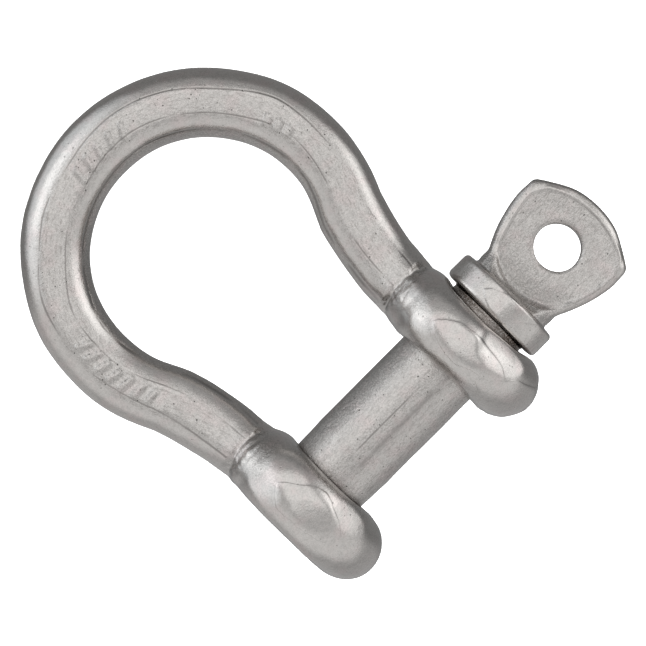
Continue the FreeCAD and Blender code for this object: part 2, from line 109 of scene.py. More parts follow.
class Skin:
    """An even closed mesh over a CAD node, its points in the shackle's own millimetres."""

    def __init__(self, node, voxel):
        source = bpy.data.objects.new("source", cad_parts[node].data.copy())
        bpy.context.scene.collection.objects.link(source)
        remesh = source.modifiers.new("even", "REMESH")
        remesh.mode = "VOXEL"
        remesh.voxel_size = voxel * MM
        graph = bpy.context.evaluated_depsgraph_get()
        self.mesh = bpy.data.meshes.new_from_object(source.evaluated_get(graph))
        bpy.data.objects.remove(source)
        self.keep_outer_shell()
        count = len(self.mesh.vertices)
        places = np.empty(count * 3)
        self.mesh.vertices.foreach_get("co", places)
        self.points = to_flat(places.reshape(-1, 3))
        ends = np.empty(len(self.mesh.edges) * 2, int)
        self.mesh.edges.foreach_get("vertices", ends)
        self.edges = ends.reshape(-1, 2)
        self.degree = np.bincount(ends, minlength=count)

    def keep_outer_shell(self):
        """Drops the walls of any closed hollow inside the part."""
        ends = np.empty(len(self.mesh.edges) * 2, int)
        self.mesh.edges.foreach_get("vertices", ends)
        ends = ends.reshape(-1, 2)
        label = np.arange(len(self.mesh.vertices))
        while True:
            lowest = label.copy()
            np.minimum.at(lowest, ends[:, 0], label[ends[:, 1]])
            np.minimum.at(lowest, ends[:, 1], label[ends[:, 0]])
            lowest = lowest[lowest]
            if (lowest == label).all():
                break
            label = lowest
        shells, sizes = np.unique(label, return_counts=True)
        inner = label != shells[sizes.argmax()]
        if not inner.any():
            return
        work = bmesh.new()
        work.from_mesh(self.mesh)
        doomed = [v for v in work.verts if inner[v.index]]
        bmesh.ops.delete(work, geom=doomed, context="VERTS")
        work.to_mesh(self.mesh)
        work.free()

    def mean_of_neighbours(self, values):
        total = np.zeros_like(values)
        for axis in range(values.shape[1]):
            one = np.bincount(
                self.edges[:, 0], values[self.edges[:, 1], axis], len(values)
            )
            two = np.bincount(
                self.edges[:, 1], values[self.edges[:, 0], axis], len(values)
            )
            total[:, axis] = one + two
        return total / self.degree[:, None]

    def smooth(self, passes):
        """Takes off the finest bumps. The push after each pull keeps the part's size."""
        for _ in range(passes):
            for pull in (0.5, -0.52):
                mean = self.mean_of_neighbours(self.points)
                self.points += pull * (mean - self.points)

    def wear(self, passes, where):
        """Rounds the edges off, as far as where says."""
        for _ in range(passes):
            mean = self.mean_of_neighbours(self.points)
            self.points += 0.6 * where[:, None] * (mean - self.points)

    def normals(self):
        self.write()
        normals = np.empty(len(self.points) * 3)
        self.mesh.vertices.foreach_get("normal", normals)
        return to_flat(normals.reshape(-1, 3) * MM)

    def knock(self, middle, outward):
        """Presses one worn flat into the part: what stands beyond the plane through
        middle that faces outward sinks most of the way to it, near middle only."""
        outward = np.array(outward, float)
        outward /= np.linalg.norm(outward)
        apart = np.linalg.norm(self.points - np.array(middle), axis=1)
        over = np.maximum((self.points - np.array(middle)) @ outward, 0) * FLAT_DEPTH
        over *= ramp(apart, 5.0, 4.0)
        self.points -= over[:, None] * outward

    def write(self):
        self.mesh.vertices.foreach_set("co", to_row(self.points).ravel())
        self.mesh.update()

    def mark(self, name, values):
        """Keeps a number at every vertex for the material to read."""
        layer = self.mesh.attributes.new(name, "FLOAT", "POINT")
        layer.data.foreach_set("value", np.asarray(values, np.float32))

    def finish(self, name, node, body, material):
        self.write()
        self.mesh.polygons.foreach_set("use_smooth", [True] * len(self.mesh.polygons))
        self.mesh.materials.clear()
        self.mesh.materials.append(material)
        piece = bpy.data.objects.new(name, self.mesh)
        bpy.context.scene.collection.objects.link(piece)
        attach(piece, body)
        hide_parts(node)


def bow_line():
    """Points on the bar's middle line from the left ear round the crown to the right
    one, with the length along it measured from the crown."""
    drop = BOW_HEIGHT - LIMB_END
    bend = (drop**2 + LIMB_OFFSET**2 - BOW_RADIUS**2) / (2 * (BOW_RADIUS - LIMB_OFFSET))
    meet = math.asin(drop / (BOW_RADIUS + bend))
    limb_steps, crown_steps = 60, 120
    low = np.linspace(0, meet, limb_steps, endpoint=False)
    x = LIMB_OFFSET + bend - bend * np.cos(low)
    y = LIMB_END + bend * np.sin(low)
    round_top = np.linspace(-meet, math.pi / 2, crown_steps)
    x = np.concatenate([x, BOW_RADIUS * np.cos(round_top)])
    y = np.concatenate([y, BOW_HEIGHT + BOW_RADIUS * np.sin(round_top)])
    x = np.concatenate([x, -x[-2::-1]])
    y = np.concatenate([y, y[-2::-1]])
    line = np.stack([x, y], axis=1)[::-1]
    steps = np.linalg.norm(np.diff(line, axis=0), axis=1)
    along = np.concatenate([[0], np.cumsum(steps)])
    return line, along - along[-1] / 2


def outside_of(line):
    """The direction square to a line at each of its points, away from the bow's middle."""
    ahead = np.gradient(line, axis=0)
    ahead /= np.linalg.norm(ahead, axis=1, keepdims=True)
    return np.stack([-ahead[:, 1], ahead[:, 0]], axis=1)


def bar_station(points):
    """For each point: the length along the bar, and how far it lies outside its line."""
    line, along = bow_line()
    outside = outside_of(line)
    ahead = np.stack([outside[:, 1], -outside[:, 0]], axis=1)
    length = np.empty(len(points))
    offset = np.empty(len(points))
    for start in range(0, len(points), CHUNK):
        chunk = slice(start, start + CHUNK)
        part = points[chunk, :2]
        apart = ((part[:, None, :] - line[None]) ** 2).sum(2)
        near = apart.argmin(1)
        gap = part - line[near]
        length[chunk] = along[near] + (gap * ahead[near]).sum(1)
        offset[chunk] = (gap * outside[near]).sum(1)
    return length, offset


def inside(points, corners):
    """How far each point lies inside a closed outline, less than 0 outside it."""
    corners = np.array(corners, float)
    following = np.roll(corners, -1, axis=0)
    nearest = np.full(len(points), np.inf)
    crossings = np.zeros(len(points), int)
    for start, end in zip(corners, following):
        side = end - start
        gap = points - start
        share = np.clip(gap @ side / (side @ side), 0, 1)
        nearest = np.minimum(nearest, np.linalg.norm(gap - share[:, None] * side, axis=1))
        spans = (start[1] > points[:, 1]) != (end[1] > points[:, 1])
        # A level side spans nothing, so what stands for its rise makes no difference.
        rise = side[1] if side[1] else 1.0
        meets = start[0] + (points[:, 1] - start[1]) * side[0] / rise
        crossings += spans & (points[:, 0] < meets)
    return np.where(crossings % 2 == 1, nearest, -nearest)


def laps(points, outlines):
    """How far inside the nearest of several outlines each point lies. The back of the
    part has them too, the other way up."""
    front = points[:, 2] > 0
    flat = np.stack([points[:, 0], np.where(front, points[:, 1], -points[:, 1])], axis=1)
    return np.max([inside(flat, outline) for outline in outlines], axis=0)


# How far the bar's outside and inside stand off its middle line: (length along the bar
# from the crown, distance). The left limb comes first.
BAR_OUTSIDE = (
    (-37, 2.97), (-33, 3.02), (-28.5, 2.88), (-24, 3.0), (-16, 3.2), (-8, 3.27),
    (2, 3.28), (10, 3.2), (17, 3.1), (24, 2.88), (28, 2.8), (32, 2.95), (37, 3.1),
)  # fmt: skip
BAR_INSIDE = (
    (-37, 3.08), (-33, 3.22), (-29.4, 3.42), (-26, 3.28), (-18, 3.12), (-10, 3.08),
    (0, 3.2), (10, 3.16), (18, 3.24), (24, 3.3), (29, 3.58), (33, 3.26), (37, 3.05),
)  # fmt: skip
# The height of the flat front and back of the bar, along its length.
BAR_FLAT = ((-38, 2.74), (-20, 2.93), (0, 3.06), (20, 2.93), (38, 2.74))
# How far the bow is turned in its own plane against the pin.
BOW_ASKEW = math.radians(0.76)
# How much thicker, front to back, the necks between bar and ears are: (height, times).
NECK_THICKENING = (
    (6.0, 1.0), (6.6, 1.03), (7.2, 1.1), (7.5, 1.16), (7.7, 1.24), (7.9, 1.34), (8.1, 1.35),
    (8.6, 1.28), (9.5, 1.16), (11.0, 1.06), (13.0, 1.0),
)  # fmt: skip
# How far each ear's two faces stand out from a plain disc: (height, distance away from
# the middle of the shackle).
RIGHT_EAR_INSIDE = (
    (-8.4, 0.9), (-8.0, 0.8), (-7.2, 0.42), (-5.6, 0.32), (-4.8, 0.2), (0, 0), (4.8, -0.05),
    (5.6, 0.12), (6.4, 0.05), (7.2, -0.12), (8.0, -0.08), (9.0, 0),
)  # fmt: skip
RIGHT_EAR_OUTSIDE = (
    (-8.4, -0.3), (-8.0, -0.15), (-7.2, 0.16), (-5.6, 0.14), (-4.0, -0.12), (0, -0.18),
    (4.0, -0.12), (5.4, 0.1), (6.4, 0.2), (7.2, 0.31), (8.0, 0.24), (8.8, 0.12), (9.8, 0),
)  # fmt: skip
LEFT_EAR_INSIDE = (
    (-8.0, -0.12), (-5.6, -0.18), (-4.8, -0.33), (4.8, -0.32), (6.4, -0.28), (7.2, -0.26),
    (8.0, -0.13), (9.0, 0),
)  # fmt: skip
LEFT_EAR_OUTSIDE = (
    (-8.0, -0.12), (-4.8, -0.1), (-3.2, 0.05), (1.6, 0.06), (3.2, 0), (5.6, -0.18), (6.4, 0.04),
    (7.2, 0.1), (8.0, 0.09), (9.0, 0),
)  # fmt: skip


def between(place, stations):
    """A value that changes evenly from station to station."""
    at, value = zip(*stations)
    return np.interp(place, at, value)


def shape_bar(points, length, offset):
    """Gives the bar its true width, which varies along the limbs, flattens its front
    and back a little, as the two halves of the mould left it, and thickens its necks."""
    z = points[:, 2]
    reach = np.hypot(offset, z)
    side = np.where(offset > 0, between(length, BAR_OUTSIDE), between(length, BAR_INSIDE))
    on_bar = ramp(points[:, 1], 7.4, 9.5)
    grow = on_bar * np.clip(side / np.maximum(reach, 1) - 1, -0.2, 0.25) * offset
    line, along = bow_line()
    outside = outside_of(line)
    points[:, 0] += grow * np.interp(length, along, outside[:, 0])
    points[:, 1] += grow * np.interp(length, along, outside[:, 1])
    wander = 0.03 * waves(points, 9, seed=11)
    over = np.maximum(np.abs(z) - between(length, BAR_FLAT) - wander, 0)
    points[:, 2] -= np.sign(z) * over * 0.8 * ramp(points[:, 1], 7.6, 8.0)
    points[:, 2] *= between(points[:, 1], NECK_THICKENING)


def shape_ears(points):
    """Shifts the ears' faces from a plain disc to their true, uneven place."""
    side = np.where(points[:, 0] > 0, 1, -1)
    share = np.clip((np.abs(points[:, 0]) - EAR_INSIDE) / EAR_THICKNESS, 0, 1)
    right = (1, RIGHT_EAR_INSIDE, RIGHT_EAR_OUTSIDE)
    left = (-1, LEFT_EAR_INSIDE, LEFT_EAR_OUTSIDE)
    for way, inner, outer in (right, left):
        height = points[:, 1]
        shift = (1 - share) * between(height, inner) + share * between(height, outer)
        points[:, 0] += np.where(side == way, way * shift, 0)


def raised_mark(along, across, half_length, half_width, slant):
    """How much of a small round-ended bar lies at each point, which is given from the
    bar's middle; slant leans it over."""
    c, s = math.cos(slant), math.sin(slant)
    aside, ahead = along * c - across * s, along * s + across * c
    beyond = np.maximum(np.abs(ahead) - half_length, 0)
    return ramp(np.hypot(aside, beyond) - half_width, 0.12, -0.06)


# Rows of plain marks: (length along the bar at the row's middle, distance across the bar,
# pitch, how many, half length, half width, slant). The long ones are ticks, the others pips.
MARK_ROWS = (
    (-0.2, -0.35, 1.42, 5, 0.6, 0.22, 0.35),
    (17.9, -0.55, 1.1, 3, 0.2, 0.36, 0.0),
    (-23.3, 0.05, 1.28, 7, 0.6, 0.22, 0.35),
)


def raised_marks(length, offset, front):
    """Rows of plain raised ticks and pips on the front of the bow, worn nearly flat."""
    total = np.zeros(len(length))
    for middle, across, pitch, count, *shape in MARK_ROWS:
        for place in range(count):
            at = middle + (place - (count - 1) / 2) * pitch
            total = np.maximum(total, raised_mark(length - at, offset - across, *shape))
    return total * front


# Flats that hammering and tumbling left on the ears: a point on each, and the way it faces.
EAR_FLATS = (
    ((-10.3, -0.9, 8.1), (-0.02, -0.11, 1.0)),
    ((-12.05, 3.9, 6.4), (-0.44, 0.45, 0.8)),
    ((-8.2, -5.35, 5.65), (0.52, -0.42, 0.74)),
    ((10.3, -0.8, 8.1), (0.05, -0.08, 1.0)),
    ((11.9, -5.0, 5.85), (0.55, -0.24, 0.8)),
    ((9.0, -5.3, 6.25), (-0.24, -0.62, 0.75)),
    ((-10.1, 1.2, -8.0), (0.04, 0.12, -1.0)),
    ((10.0, -1.4, -8.0), (-0.05, -0.15, -1.0)),
    ((-8.3, -3.9, -6.2), (0.5, -0.42, -0.77)),
    ((12.0, 3.6, -6.3), (0.46, 0.42, -0.8)),
)
# Where the metal has lapped over itself: faint closed outlines on the ears and collar.
EAR_LAPS = (
    (
        (-12.0, 1.85), (-11.3, 2.55), (-10.4, 3.3), (-9.8, 2.7), (-9.2, 2.0), (-8.5, 1.1),
        (-8.1, 0.4), (-7.9, -0.5), (-8.0, -1.5), (-8.4, -2.4), (-9.0, -3.2), (-9.9, -4.4),
        (-11.4, -3.4), (-12.2, -0.8),
    ),
    (
        (8.4, 0.8), (8.6, 1.6), (9.1, 2.6), (9.74, 3.3), (10.2, 3.15), (10.7, 2.7),
        (11.3, 1.4), (11.65, 0), (11.7, -1.2), (11.5, -2.6), (11.1, -4.0), (10.5, -5.1),
        (9.6, -3.8), (8.9, -2.0), (8.45, -0.4),
    ),
    ((10.45, -5.0), (11.3, -5.9), (12.3, -7.9), (8.5, -8.6), (7.2, -6.0), (8.6, -3.0)),
)  # fmt: skip
COLLAR_LAPS = (
    (
        (14.0, -1.1), (14.2, 0.8), (14.55, 1.7), (15.05, 2.3), (15.6, 1.8), (16.2, 0.4),
        (16.4, -1.6), (16.3, -3.6), (15.3, -2.3),
    ),
)  # fmt: skip
EYE_HALF_THICKNESS = 2.3
EYE_HOLE_MIDDLE = 22.36
# How far the pin lies off the middle of its holes, towards the crown.
PIN_RISE = 0.16
# Added to a place across the back of the pin, so that the seams on its front stay there.
BACK_SHIFT = 30
# The eye in plan: (x, half width) where its sides leave the neck, at its corners and at its
# outer end, with the radii of the sides, the crown and the corners.
EYE_NECK = (17.5, 4.0)
EYE_CORNER = (25.5, 5.95)
EYE_END = (27.6, 0.0)
EYE_SIDE_RADIUS = 15.0
EYE_CROWN_RADIUS = 9.4
EYE_CORNER_RADIUS = 0.9
# The least half width of the neck between collar and eye.
EYE_ROOT_HALF_WIDTH = 4.25
# How far outside that outline the eye may reach, and how wide its raised rim is.
EYE_SLACK = 0.03
EYE_RIM = 0.72


def arc_middle(start, end, radius):
    """The middle of the arc from start to end that bulges to its left."""
    start, end = np.array(start), np.array(end)
    chord = end - start
    length = np.linalg.norm(chord)
    to_right = np.array([chord[1], -chord[0]]) / length
    return (start + end) / 2 + to_right * math.sqrt(radius**2 - length**2 / 4)


def arc(middle, radius, start, end, steps):
    """Points on an arc, from the direction of one point to that of another."""
    first = math.atan2(start[1] - middle[1], start[0] - middle[0])
    last = math.atan2(end[1] - middle[1], end[0] - middle[0])
    turn = np.linspace(first, last, steps)
    return np.stack([np.cos(turn), np.sin(turn)], axis=1) * radius + middle


def eye_outline():
    """The eye in plan, as points all round it."""
    side = arc_middle(EYE_NECK, EYE_CORNER, EYE_SIDE_RADIUS)
    crown = arc_middle(EYE_CORNER, EYE_END, EYE_CROWN_RADIUS)
    apart = np.linalg.norm(crown - side)
    toward = (crown - side) / apart
    from_side = EYE_SIDE_RADIUS - EYE_CORNER_RADIUS
    from_crown = EYE_CROWN_RADIUS - EYE_CORNER_RADIUS
    on = (from_side**2 - from_crown**2 + apart**2) / (2 * apart)
    off = math.sqrt(from_side**2 - on**2)
    corner = side + on * toward + off * np.array([toward[1], -toward[0]])
    root = [(COLLAR_OUTER - 0.3, EYE_ROOT_HALF_WIDTH)]
    side_steps, corner_steps, crown_steps = 16, 5, 12
    flank = arc(side, EYE_SIDE_RADIUS, EYE_NECK, corner, side_steps)
    leaves_side, meets_crown = 2 * corner - side, 2 * corner - crown
    bend = arc(corner, EYE_CORNER_RADIUS, leaves_side, meets_crown, corner_steps)
    top = arc(crown, EYE_CROWN_RADIUS, corner, EYE_END, crown_steps)
    half = np.concatenate([root, flank, bend[1:], top[1:]])
    half[:side_steps, 1] = np.maximum(half[:side_steps, 1], EYE_ROOT_HALF_WIDTH)
    return np.concatenate([half, half[-2::-1] * (1, -1)])


EYE_OUTLINE = eye_outline()


# The height of the crease between bar and ear.
NECK_HEIGHT = 7.35


def neck_creases(points):
    """How far each point lies in the crease between bar and ear, in the groove at the
    bottom of it, and in the smooth hollow on top of the left ear."""
    x, y, z = points.T
    from_line = np.abs(y - NECK_HEIGHT - 0.12 * waves(points, 4, seed=24))
    hollow = ramp(np.hypot((x + 8.9) / 2.1, (y - 6.0) / 1.3), 1.0, 0.3) * ramp(z, 0, 2)
    crease = ramp(from_line, 1.0, 0.1) * ramp(np.abs(z), 1.5, 2.6) * (1 - 0.8 * hollow)
    groove = ramp(from_line, 0.35, 0.0) * ramp(crease, 0.2, 0.6)
    return crease, groove, hollow


def mark_bow(skin, length, offset, lap, mark, crease, hollow):
    """Tells the bow's material where the bar, the laps, the dull places and the stains are,
    and where shade is painted: in the neck creases, in the hollow on the left ear, along
    the raised marks' edges, on the ears' inner flanks and upper cheeks, and along the
    bar's inner rim."""
    x, y, z = skin.points.T
    on_bar = y > 8.0
    skin.mark("along", length)
    skin.mark("across", np.where(on_bar, offset, FAR_OUT))
    right_of_middle = np.where(x > 0, x - EAR_MIDDLE, x + EAR_MIDDLE)
    faded = ramp(right_of_middle, -0.2, -1.0) * ramp(y, 1.7, 0.7)
    faded = np.maximum(faded, ramp(x, 0, -1) * ramp(y, -2.2, -3.2))
    skin.mark("lap", lap + np.where(lap > 0, 0.2, -0.2) * faded)
    skin.mark("matt", ramp(np.abs(offset), 1.9, 1.2) * on_bar)
    # Painted shade on the ears' inner flanks beside the shank, along the bar's inner rim inside
    # the ring, and on the ears' upper cheeks, where it dims the sky's reflection.
    flank = ramp(np.abs(x), 7.8, 7.1) * ramp(np.abs(y), 5.5, 3.5)
    inner_rim = ramp(offset, -2.3, -2.9) * on_bar
    cheek = ramp(np.hypot((np.abs(x) - 10.6) / 1.9, (y - 5.2) / 1.2), 1.0, 0.2)
    # Painted shade in the neck creases, in the hollow on the left ear and along the raised
    # marks' edges, with that of the flanks, rim and cheeks.
    dark = 0.5 * crease + 3.2 * mark * (1 - mark) + 0.9 * hollow
    dark += 0.6 * flank + 0.7 * inner_rim + 0.5 * cheek
    skin.mark("painted_shade_and_tone", np.clip(dark, 0, 1))
    # Brown stain round the pin holes; on the right ear beside the collar it is stronger, as
    # painted shade in the gap between ear and collar.
    around_pin = ramp(np.hypot(y, z), 4.8, 4.3)
    skin.mark("stain_and_gap_shade", np.where(x > 12, 0.9, 0.4) * around_pin)


def turn_askew(points):
    """Turns the bow a little in its own plane, all but the holes round the pin."""
    turn = BOW_ASKEW * ramp(np.hypot(points[:, 1], points[:, 2]), 4.4, 6.6)
    x, y = points[:, 0].copy(), points[:, 1].copy()
    points[:, 0] = x * np.cos(turn) - y * np.sin(turn)
    points[:, 1] = x * np.sin(turn) + y * np.cos(turn)


def make_bow():
    skin = Skin("bow", voxel=0.2)
    skin.smooth(3)
    length, offset = bar_station(skin.points)
    shape_bar(skin.points, length, offset)
    shape_ears(skin.points)
    for flat in EAR_FLATS:
        skin.knock(*flat)
    skin.smooth(4)
    skin.wear(5, ramp(skin.points[:, 1], 6.5, 5.0))
    points = skin.points
    lap = laps(points, EAR_LAPS) + 0.1 * waves(points, 2.6, seed=26)
    mark = raised_marks(length, offset, points[:, 2] > 0)
    crease, groove, hollow = neck_creases(points)
    rough = crease * (waves(points, 0.9, seed=23) + 0.7 * waves(points, 0.5, seed=25))
    ripple = 0.03 * waves(points, 8, seed=21) + 0.005 * waves(points, 2.2, seed=22)
    lap_step = 0.05 * ramp(lap, -0.1, 0.2)
    swell = ripple + 0.2 * mark - 0.08 * groove + 0.03 * rough + lap_step
    skin.points += skin.normals() * swell[:, None]
    mark_bow(skin, length, offset, lap, mark, crease, hollow)
    turn_askew(skin.points)
    steel = cast_steel("cast_stainless", seams=bar_lines)
    skin.finish("bow_skin", "bow", "bow", steel)


def coined(points):
    """How far inside the rim of the eye's coined face each point lies."""
    from_hole = np.hypot(points[:, 0] - EYE_HOLE_MIDDLE, points[:, 1])
    from_edge = inside(points[:, :2], EYE_OUTLINE) + EYE_SLACK
    return np.minimum(from_edge - EYE_RIM, COIN_RADIUS - from_hole)


def eye_surface(points):
    """How far from the middle plane the eye's face, rim and neck stand."""
    x, y = points[:, 0], points[:, 1]
    from_edge = inside(points[:, :2], EYE_OUTLINE) + EYE_SLACK
    from_hole = np.hypot(x - EYE_HOLE_MIDDLE, y)
    rim_width, rim_drop = 0.65, 1.0
    short = np.clip(1 - from_edge / rim_width, 0, 1)
    rim = EYE_HALF_THICKNESS - rim_drop * (1 - np.sqrt(1 - short**2))
    rim = np.where(x > 17.4, rim, EYE_HALF_THICKNESS)
    beyond = np.maximum(from_hole - COIN_RADIUS, 0)
    neck = rim + 0.7 * beyond + 0.5 * beyond**2
    neck = np.where((x < 19.6) & (beyond > 0), neck, rim)
    sunk = 0.14
    hollow = 0.1 * ramp(from_hole, 5.4, 3.2)
    worn_hole = 0.3 * ramp(from_hole, 2.5, 2.0)
    towards_collar = 0.26 * ramp(from_hole, 3.4, 5.4) * ramp(x, 21.0, 18.6)
    dish = sunk + hollow + worn_hole + towards_collar
    return neck - dish * ramp(coined(points), 0.0, 0.18)


def shape_eye(skin):
    """Rounds the rim of the eye plate and sinks its coined face a little."""
    for _ in range(3):
        x, y, z = skin.points.T
        over = np.maximum(np.abs(z) - eye_surface(skin.points), 0)
        over *= ramp(x, COLLAR_OUTER + 0.1, COLLAR_OUTER + 0.3)
        skin.points[:, 2] -= np.sign(z) * over
        wall = ramp(x, 16.5, 16.8) * ramp(x, 19.5, 18.5) * ramp(np.abs(z), 1.2, 1.9)
        skin.wear(6, wall)
    skin.wear(2, ramp(skin.points[:, 0], 16.5, 17.2))
    x, y, z = skin.points.T
    skin.wear(14, ramp(np.abs(x - 18.1), 1.1, 0.5) * ramp(np.abs(y), 3.4, 3.9))


def true_pin(points):
    """Brings the pin to its own slightly uneven outline: the shank a little thicker, its
    shoulder close up to the far ear, and the eye a little fuller and more pointed."""
    x, y, z = points.T.copy()
    thicker = 1 + 0.022 * ramp(x, -6.6, -6.0) * ramp(x, 13.8, 13.0)
    points[:, 2] = z * thicker
    fuller = 1 + 0.02 * ramp(x, 16.2, 17.2) * ramp(x, 25.0, 23.0)
    points[:, 1] = y * thicker * fuller + PIN_RISE
    shoulder = ramp(x, -5.0, -6.1) * ramp(x, -8.0, -6.9)
    points[:, 0] -= 0.75 * shoulder
    corner = ramp(x, 23.5, 25.0) * ramp(np.abs(y), 2.0, 5.0)
    points[:, 0] += 0.13 * ramp(x, 15.5, 16.2) - 0.25 * corner


def mark_pin(skin, normal, on_eye, coin, lap):
    """Tells the pin's material where the seams, the laps, the eye's face, the dull places and
    the stains are, and where shade is painted: on the neck by the collar, along the shank's
    top side, on the eye's side walls, in the crease round its coined face and on its upper
    rim."""
    x, y, z = skin.points.T
    face = ramp(coin, 0.0, 0.25)
    on_collar = ramp(x, 13.3, 13.7) * ~on_eye
    skin.mark("along", x)
    skin.mark("across", np.where(z > 0, y, y + BACK_SHIFT))
    skin.mark("lap", np.where(on_eye, coin, lap))
    skin.mark("matt", np.where(on_eye, 0.3 + 0.7 * face, 0.9 - 0.7 * on_collar))
    # Painted shade on the neck between collar and eye, next to the collar.
    neck = ramp(x, 16.5, 16.7) * ramp(x, 18.6, 17.2) * (1 - face)
    # Painted shade along the shank's top side, which faces the inside of the bow, and a darker
    # band along its front seam.
    shank = ramp(x, 12.5, 12.0) * ramp(z, 0, 1)
    band = np.maximum(ramp(y, 1.8, 3.2), 0.45 * ramp(np.abs(y - 0.3), 0.7, 0.2))
    # Painted shade on the eye's side walls, the more the further they turn from the front.
    side_wall = on_eye * ramp(np.abs(normal[:, 2]), 0.5, 0.2)
    near_collar = ramp(x, 20.4, 18.0) * face
    # Painted shade on the upper side of the eye's rim.
    brink = on_eye * ramp(coin, -0.35, -0.65) * ramp(y, 0.0, 1.5)
    # Painted shade in the crease round the coined face, on the collar side and along the lower
    # rim.
    crease = on_eye * ramp(np.abs(coin - 0.02), 0.16, 0.0)
    crease *= ramp(y - 0.6 * (x - 22), 3.0, 0.5)
    # The coined face's own darker tone, also darker towards the collar, with the painted shade
    # above.
    dark = 0.25 * face + 0.5 * near_collar + 0.8 * neck + shank * band
    dark += side_wall + 0.9 * crease + 0.8 * brink
    skin.mark("painted_shade_and_tone", np.clip(dark, 0, 1))
    in_gap = ramp(x, 12.2, 12.9) * ramp(x, 14.0, 13.7) * ramp(np.hypot(y, z), 4.6, 4.2)
    # Painted shade: the stain grows darker towards the shank's sides, where they turn away from
    # the light.
    in_gap *= 0.8 + 0.6 * ramp(np.abs(y), 1.0, 3.2)
    in_far_ear = ramp(x, -6.0, -6.6) * ramp(x, -9.0, -8.0)
    skin.mark("stain_and_gap_shade", np.maximum(in_gap, 0.5 * in_far_ear))


def make_pin():
    skin = Skin("screw_pin", voxel=0.13)
    skin.smooth(3)
    shape_eye(skin)
    true_pin(skin.points)
    points = skin.points
    on_eye = points[:, 0] > COLLAR_OUTER + 0.4
    coin = np.where(on_eye, coined(points), -FAR_OUT)
    lap = np.where(on_eye, -FAR_OUT, laps(points, COLLAR_LAPS))
    normal = skin.normals()
    plain = ramp(points[:, 0], -6.6, -5.6)
    ripple = 0.012 * waves(points, 6, seed=31) + 0.003 * waves(points, 1.6, seed=32)
    lap_step = 0.05 * ramp(lap, -0.1, 0.15)
    rim_bead = 0.07 * ramp(np.abs(coin + 0.12), 0.18, 0.0)
    swell = plain * ripple + lap_step + rim_bead
    skin.points += normal * swell[:, None]
    mark_pin(skin, normal, on_eye, coin, lap)
    steel = cast_steel("cast_stainless_pin", seams=pin_lines)
    skin.finish("pin_skin", "screw_pin", "screw_pin", steel)
    # The core inside the pin stays the CAD's own, in the same steel.
    core_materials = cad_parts["pin_core"].data.materials
    core_materials.clear()
    core_materials.append(steel)


class Nodes:
    """Short calls for building the node tree of a material or of the sky."""

    def __init__(self, tree):
        self.tree = tree

    def add(self, kind, **settings):
        node = self.tree.nodes.new(kind)
        for key, value in settings.items():
            setattr(node, key, value)
        return node

    def feed(self, socket, value):
        if isinstance(value, bpy.types.NodeSocket):
            self.tree.links.new(value, socket)
        else:
            socket.default_value = value

    def math(self, operation, a, b=0.0, c=0.0):
        node = self.add("ShaderNodeMath", operation=operation)
        for socket, value in zip(node.inputs, (a, b, c)):
            self.feed(socket, value)
        return node.outputs[0]

    def times(self, a, b):
        return self.math("MULTIPLY", a, b)

    def times_plus(self, a, b, c):
        """a times b, plus c."""
        return self.math("MULTIPLY_ADD", a, b, c)

    def ramp(self, value, low, high):
        """0 below low, 1 above high, smooth between."""
        node = self.add("ShaderNodeMapRange", interpolation_type="SMOOTHSTEP")
        self.feed(node.inputs["Value"], value)
        self.feed(node.inputs["From Min"], low)
        self.feed(node.inputs["From Max"], high)
        return node.outputs["Result"]

    def noise(self, place, scale, detail, roughness=0.5):
        node = self.add("ShaderNodeTexNoise")
        self.feed(node.inputs["Vector"], place)
        self.feed(node.inputs["Scale"], scale)
        self.feed(node.inputs["Detail"], detail)
        self.feed(node.inputs["Roughness"], roughness)
        return node.outputs["Fac"]

    def attribute(self, name):
        return self.add("ShaderNodeAttribute", attribute_name=name).outputs["Fac"]

    def mix_colour(self, share, under, over, blend="MIX"):
        node = self.add("ShaderNodeMix", data_type="RGBA", blend_type=blend)
        self.feed(node.inputs["Factor"], share)
        self.feed(node.inputs["A"], under)
        self.feed(node.inputs["B"], over)
        return node.outputs["Result"]


def line_at(nodes, across, place, middle, wander, half_width, seed):
    """A thin wandering line where across equals middle, broken up along its length. The
    seed only makes its noise differ from the other lines'."""
    drift = nodes.noise(place, scale=0.07 + 0.01 * seed, detail=1.0)
    drift = nodes.times_plus(drift, 2 * wander, middle - wander)
    apart = nodes.math("ABSOLUTE", nodes.math("SUBTRACT", across, drift))
    line = nodes.ramp(apart, half_width, 0.0)
    breaks = nodes.noise(place, scale=0.16 + 0.03 * seed, detail=1.0)
    return nodes.times(line, nodes.ramp(breaks, 0.36, 0.52))


# Seams and mould lines: (distance across the part, wander, half width, seed).
BAR_LINES = ((1.35, 0.9, 0.14, 1), (-0.9, 0.9, 0.12, 2), (-2.5, 0.4, 0.2, 3))
PIN_LINES = ((0.1, 0.3, 0.13, 1), (-1.1, 0.15, 0.36, 2))


def bar_lines(nodes, place):
    """The faint mould lines that run along the bar on both sides of its flat."""
    across = nodes.attribute("across")
    outer, inner, rim = (line_at(nodes, across, place, *line) for line in BAR_LINES)
    return nodes.math("MAXIMUM", nodes.math("MAXIMUM", outer, inner), rim)


def pin_lines(nodes, place):
    """The seam along the front of the shank, and the softer one below it."""
    across = nodes.attribute("across")
    along = nodes.attribute("along")
    upper, lower = (line_at(nodes, across, place, *line) for line in PIN_LINES)
    both = nodes.math("MAXIMUM", upper, nodes.times(lower, 0.6))
    shank = nodes.times(nodes.ramp(along, -5.0, -3.8), nodes.ramp(along, 12.6, 12.0))
    return nodes.times(both, shank)


def place_in_mm(nodes):
    """Each point's place on the part, in millimetres."""
    scaled = nodes.add("ShaderNodeVectorMath", operation="SCALE")
    nodes.feed(scaled.inputs[0], nodes.add("ShaderNodeTexCoord").outputs["Object"])
    scaled.inputs["Scale"].default_value = 1 / MM
    return scaled.outputs[0]


